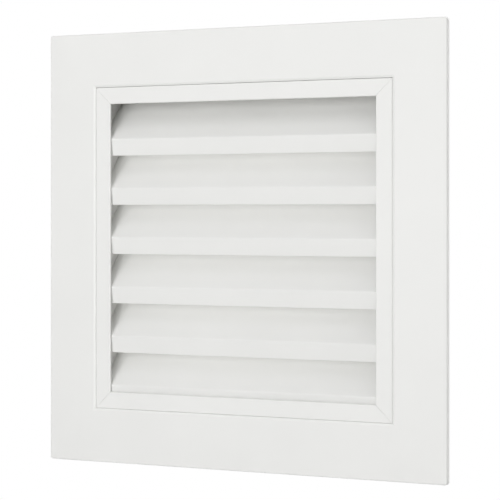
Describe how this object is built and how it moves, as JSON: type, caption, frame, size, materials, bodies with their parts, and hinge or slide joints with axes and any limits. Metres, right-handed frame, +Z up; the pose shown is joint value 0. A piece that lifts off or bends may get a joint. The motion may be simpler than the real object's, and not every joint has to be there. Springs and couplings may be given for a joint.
{
  "type": "return air grille",
  "caption": "Square wall grille for return air: a mitred flanged frame with a neck, and a snap-in core of fixed sloping blades with front lips.",
  "frame": {"origin": "centre of the neck in the plane of the wall, which the flange's turned edge meets", "axes": "+Z is up, +Y goes into the wall along the neck, and the face looks along -Y"},
  "size_m": [0.3, 0.0447, 0.3],
  "materials": {
    "white_powder_coat": "satin",
    "zinc_plated_steel": "satin",
    "spring_steel": "satin"
  },
  "bodies": {
    "root": {"frame_top": "white_powder_coat", "frame_bottom": "white_powder_coat", "frame_left": "white_powder_coat", "frame_right": "white_powder_coat", "core_top": "white_powder_coat", "core_bottom": "white_powder_coat", "core_left": "white_powder_coat", "core_right": "white_powder_coat", "blade_1": "white_powder_coat", "blade_2": "white_powder_coat", "blade_3": "white_powder_coat", "blade_4": "white_powder_coat", "blade_5": "white_powder_coat", "blade_6": "white_powder_coat", "frame_key_top_left": "zinc_plated_steel", "frame_key_top_right": "zinc_plated_steel", "frame_key_bottom_left": "zinc_plated_steel", "frame_key_bottom_right": "zinc_plated_steel", "core_key_top_left": "zinc_plated_steel", "core_key_top_right": "zinc_plated_steel", "core_key_bottom_left": "zinc_plated_steel", "core_key_bottom_right": "zinc_plated_steel", "blade_screws": "zinc_plated_steel", "clip_top_left": "spring_steel", "clip_top_right": "spring_steel", "clip_bottom_left": "spring_steel", "clip_bottom_right": "spring_steel"}
  },
  "joints": []
}
